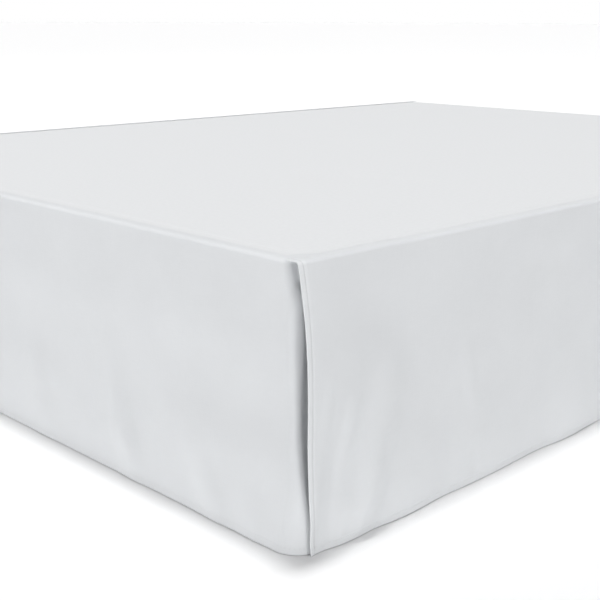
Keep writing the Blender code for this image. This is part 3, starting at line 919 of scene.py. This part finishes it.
# %% Lay the deck
DECK_CORNER = 0.025
DECK_BORDER = 0.020         # the border that the drops' flanges press down
DECK_RISE = 0.0005          # the rest of it stands this much higher
DECK_HEM = 0.015            # the turned edge at the head end
DECK_STEP = 0.010           # spacing of its grid
DECK_EDGE = 0.028           # width of a closer grid along its edges
EDGE_STEP = 0.002           # and the spacing of that
STEP_UP = 0.003             # width of the step from the border to the rest
WRINKLE_EDGE = 0.030        # width in which the wrinkles grow to their height inside the border
WRINKLES = (                # across the deck, in the bed's own x and y
    (-0.690, -0.930, -0.380, -0.560, 0.018, 0.0016),
    (0.680, -0.900, 0.470, -0.420, 0.022, 0.0014),
    (0.640, 0.930, 0.300, 0.520, 0.020, 0.0018),
    (-0.650, 0.900, -0.420, 0.380, 0.024, 0.0015),
    (-0.560, -0.100, 0.120, 0.060, 0.035, 0.0012),
    (0.080, -0.520, 0.560, -0.330, 0.030, 0.0011),
)


def lay_deck():
    """The deck's cloth, hemmed at the head end, with its stitches."""
    half_width, half_length = deck_high[0], deck_high[1]

    def surface(s, y):
        end = np.clip((np.abs(y) - half_length + DECK_CORNER) / DECK_CORNER, 0.0, 1.0)
        x = s * (half_width - DECK_CORNER * (1.0 - np.sqrt(1.0 - end**2))) / half_width
        inside = np.minimum(half_width - np.abs(x), half_length - np.abs(y)) - DECK_BORDER
        lift = DECK_RISE * ease(inside / STEP_UP)
        lift = lift + crease_push(WRINKLES, x, y, full=1.0) * ease(inside / WRINKLE_EDGE)
        return np.stack(np.broadcast_arrays(x, y, DECK_TOP - DECK_CLOTH / 2 + lift), axis=-1)

    def thickness(s, y):
        return DECK_CLOTH + 0.0 * (s + y)

    def lines_across(half):
        steps = spaced((half - DECK_EDGE, DECK_STEP), (half, EDGE_STEP))
        return np.concatenate([-steps[:0:-1], steps])

    x_lines, y_lines = lines_across(half_width), lines_across(half_length)
    s, y = x_lines[:, None], y_lines[None, :]
    cloth = closed_sheet("deck_cloth_sheet", surface(s, y), thickness(s, y),
                         cloth_maps(x_lines, y_lines, x_lines), deck_cloth, "deck_cloth")
    hem, end = half_length - DECK_HEM, half_width - DECK_STEP
    sewn = stitching("deck_stitches", surface, thickness, [((-end, hem), (end, hem), (1,))], thread,
                     "deck_cloth")
    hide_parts("deck")
    return cloth


deck = lay_deck()
print(deck.name, len(deck.data.polygons), "faces")

# %% [markdown]
# ## The box foundation
#
# A box foundation is a wooden frame under a tight cloth cover. Its shape is a rounded rectangle carried up a
# profile: in from the bottom, round the lower edge, up the side, round the upper edge and in again. At both
# edges the cover has a seam, which shows as a low welt.

# %% Cover the foundation
FOUNDATION_CORNER = 0.050   # rounding of its upright edges
FOUNDATION_EDGE = 0.008     # rounding of its top and bottom edges
SHARP_DEGREES = 35          # edges sharper than this stay crisp
WELT = 0.00084              # how far the seam's welt swells, kept inside the box's corner


def rounded_outline(half_width, half_length, radius, steps):
    """Points of a rounded rectangle, anticlockwise, as an array of (x, y).

    Four quarter circles, each with its own centre, joined by the straight sides between them.
    """
    turn = np.linspace(0.0, pi / 2, steps)
    quarters = []
    for quarter, (sx, sy) in enumerate(((1, 1), (-1, 1), (-1, -1), (1, -1))):
        angle = turn + quarter * pi / 2
        quarters.append(np.stack([sx * (half_width - radius) + radius * np.cos(angle),
                                  sy * (half_length - radius) + radius * np.sin(angle)], axis=-1))
    return np.concatenate(quarters)


def carried(name, rings, finish, slot):
    """A closed solid whose rings of points are given from bottom to top, capped at both ends."""
    count, around = rings.shape[:2]
    index = np.arange(count * around).reshape(count, around)
    after = np.roll(index, -1, axis=1)
    walls = np.stack([index[:-1], after[:-1], after[1:], index[1:]], axis=-1).reshape(-1, 4).tolist()
    mesh = bpy.data.meshes.new(name)
    caps = [index[0, ::-1].tolist(), index[-1].tolist()]
    mesh.from_pydata(rings.reshape(-1, 3).tolist(), [], walls + caps)
    mesh.shade_smooth()
    mesh.set_sharp_from_angle(angle=radians(SHARP_DEGREES))
    return add_piece(name, mesh, finish, slot)


def cover_foundation():
    """The foundation's cover: rings of a rounded rectangle, set in by the profile at each height.

    The profile is a quarter circle at each edge, from (1 - sin, 1 - cos) of its angle, and the welt adds
    sin^8 of twice that angle, which is a narrow bead at the middle of the quarter circle.
    """
    low, high = base_low[2], base_high[2]
    turn = np.linspace(0.0, pi / 2, 9)
    level, upright = FOUNDATION_EDGE * (1.0 - np.sin(turn)), FOUNDATION_EDGE * (1.0 - np.cos(turn))
    inset = np.concatenate([level, upright])
    height = np.concatenate([low + upright, high - level])
    swell = np.tile(WELT * np.sin(2 * turn) ** 8, 2)
    rings = []
    for edge, z, bead in zip(inset, height, swell):
        outline = rounded_outline(base_high[0] - edge + bead, base_high[1] - edge + bead,
                                  FOUNDATION_CORNER - edge, 12)
        rings.append(np.concatenate([outline, np.full((len(outline), 1), z)], axis=-1))
    made = carried("foundation_cover", np.array(rings), ticking, "foundation_ticking")
    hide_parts("box_foundation")
    return made


cover = cover_foundation()
print(cover.name, len(cover.data.polygons), "faces")

# %% [markdown]
# ## Legs and glides
#
# Legs and glides are turned, so each is a profile of radius and height carried round a circle. The same
# solid maker closes them. Real legs have a rolled edge at both ends, and a glide is a shallow dish with a
# rounded rim.

# %% Turn the legs and glides
ROUND_SIDES = 40            # sides of the circle that a profile is carried round
LEG_PROFILE = ((0.90, 0.0), (1.0, 0.012), (1.0, 0.988), (0.90, 1.0))
GLIDE_PROFILE = ((0.94, 0.0), (1.0, 0.05), (1.0, 0.16), (0.97, 0.24), (0.78, 0.62), (0.70, 0.90),
                 (0.66, 1.0))


def turned(name, profile, finish, slot):
    """A round piece in the box of its node: radius and height are shares of the node's own."""
    low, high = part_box(name)
    centre = (np.array(low) + np.array(high)) / 2
    radius, tall = (high[0] - low[0]) / 2, high[2] - low[2]
    angle = np.linspace(0.0, 2 * pi, ROUND_SIDES, endpoint=False)
    circle = radius * np.stack([np.cos(angle), np.sin(angle), np.zeros(ROUND_SIDES)], axis=-1)
    rings = [share * circle + (centre[0], centre[1], low[2] + rise * tall) for share, rise in profile]
    made = carried(name + "_turned", np.array(rings), finish, slot)
    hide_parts(name)
    return made


legs = [turned(name, LEG_PROFILE, steel, "frame_steel")
        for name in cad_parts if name.startswith("leg_")]
glides = [turned(name, GLIDE_PROFILE, black_plastic, "glide_plastic")
          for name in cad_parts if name.startswith("glide_")]
print(len(legs), "legs and", len(glides), "glides")

# %% [markdown]
# ## Rails and bars
#
# The rails and cross bars already have their true shape, so they stay as they are and only get their paint.

# %% Paint the rails and bars
painted = [piece for name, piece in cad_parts.items() if name.startswith(("side_rail_", "cross_bar_"))]
for piece in painted:
    piece.data.materials.clear()
    piece.data.materials.append(steel)
print("painted", len(painted), "pieces")

# %% [markdown]
# ## Floor, light and camera
#
# The bed stands on a plain white floor that runs on to the horizon, in the even light of a bright studio.
# Most of the light comes from the sky and from overhead, so shadows only gather where cloth meets floor.
# Three large lamps model the folds from far off, so that each lights a whole panel evenly: the left one
# grazes the foot and shows its folds, the front one faces it, and the right one faces the side. The floor
# glows a little further out, as a real studio's white sweep does. The camera looks down at the foot corner.

# %% Floor, light and camera
WHITE = (1.0, 1.0, 1.0)
SKY = 0.31                  # brightness of the sky above the horizon's white band
BAND_TOP, BAND_END = 0.06, 0.16             # it fades between these, where 0 is level and 1 straight up
OVERHEAD = 1.78             # strength of the light from overhead
OVERHEAD_SPREAD = 9.0       # how wide that light is, in degrees
OVERHEAD_WAY = (0.044, -0.050, -1.0)        # the way it shines
LAMP_DISTANCE = 14.0        # from the foot corner, level
LAMP_HEIGHT = 3.7           # above the corner
LAMP_SIZE = 2.8
LAMPS = (                   # azimuth in degrees, power in watts
    ("left_lamp", -75.0, 387.0),
    ("front_lamp", 12.0, 402.0),
    ("right_lamp", 95.0, 362.0),
)
FLOOR_SIZE = 300.0          # so wide that its edge is lost at the horizon
GLOW = 0.16                 # the floor's own light where it is strongest
GLOW_FROM, GLOW_TO = 1.8, 5.0               # it starts and is strongest this far from the bed's middle
CAMERA_PLACE = (1.6177, -1.8553, 0.6515)
CAMERA_TURN, CAMERA_DIP, CAMERA_ROLL = 135.55, 14.71, 0.20          # in degrees
CAMERA_LENS = 64.32         # in millimetres


def add_light(name, kind, power, **settings):
    """A light with its object, linked to the scene. settings are the light's own."""
    light = bpy.data.lights.new(name, kind)
    light.energy = power
    for setting, value in settings.items():
        setattr(light, setting, value)
    lamp = bpy.data.objects.new(name, light)
    bpy.context.scene.collection.objects.link(lamp)
    return lamp


def facing(way):
    """The rotation that turns a light's beam this way."""
    return Vector(way).to_track_quat("-Z", "Y").to_euler()


def soft_lamp(name, azimuth, power):
    """A round lamp turned towards the foot corner. azimuth is 0 in front of the foot, 90 at the right."""
    turn = radians(azimuth)
    corner = Vector((SIDE_FACE, FOOT_FACE, 0.15))
    lamp = add_light(name, "AREA", power, shape="DISK", size=LAMP_SIZE)
    lamp.location = corner + Vector((LAMP_DISTANCE * sin(turn), -LAMP_DISTANCE * cos(turn), LAMP_HEIGHT))
    lamp.rotation_euler = facing(corner - lamp.location)


def studio_floor():
    """The floor, with a glow that grows with the distance from the bed's middle."""
    bpy.ops.mesh.primitive_plane_add(size=FLOOR_SIZE, location=(0.0, 0.0, 0.0))
    floor = bpy.context.object
    floor.name = "studio_floor"
    finish, tree, shader = new_finish("studio_floor", (0.96, 0.96, 0.96), 0.95,
                                      Emission_Color=(*WHITE, 1.0))
    place = node(tree, "TexCoord").outputs["Object"]
    away = node(tree, "VectorMath", {"operation": "LENGTH"}, in0=place).outputs["Value"]
    glow = node(tree, "MapRange", Value=away, in1=GLOW_FROM, in2=GLOW_TO, in3=0.0, in4=GLOW).outputs[0]
    feed(tree, shader, Emission_Strength=glow)
    floor.data.materials.append(finish)


def studio_sky():
    """The world: white at and below the horizon, and an even grey above."""
    world = bpy.data.worlds.new("studio")
    world.use_nodes = True
    tree = world.node_tree
    split = node(tree, "SeparateXYZ", in0=node(tree, "TexCoord").outputs["Generated"])
    colour = tones(tree, split.outputs[2], (BAND_TOP, WHITE), (BAND_END, (SKY, SKY, SKY * 1.01)))
    feed(tree, tree.nodes["Background"], Color=colour)
    bpy.context.scene.world = world


def look_at_corner():
    """The camera, by where it stands and by its turn, dip and roll in degrees."""
    turn, dip, roll = radians(CAMERA_TURN), radians(CAMERA_DIP), radians(CAMERA_ROLL)
    ahead = Vector((cos(turn) * cos(dip), sin(turn) * cos(dip), -sin(dip)))
    level = ahead.cross(Vector((0.0, 0.0, 1.0))).normalized()
    upright = level.cross(ahead)
    right = level * cos(roll) + upright * sin(roll)
    up = upright * cos(roll) - level * sin(roll)
    camera = bpy.data.objects.new("camera", bpy.data.cameras.new("camera"))
    camera.data.lens = CAMERA_LENS
    axes = Matrix((right, up, -ahead)).transposed().to_4x4()
    camera.matrix_world = Matrix.Translation(CAMERA_PLACE) @ axes
    bpy.context.scene.collection.objects.link(camera)
    bpy.context.scene.camera = camera
    return camera


studio_floor()
studio_sky()
overhead = add_light("overhead", "SUN", OVERHEAD, angle=radians(OVERHEAD_SPREAD))
overhead.rotation_euler = facing(OVERHEAD_WAY)
for name, azimuth, power in LAMPS:
    soft_lamp(name, azimuth, power)
bpy.context.scene.view_settings.view_transform = "Standard"
camera = look_at_corner()
print("lights:", 1 + len(LAMPS), "camera at", [round(x, 3) for x in camera.matrix_world.translation])
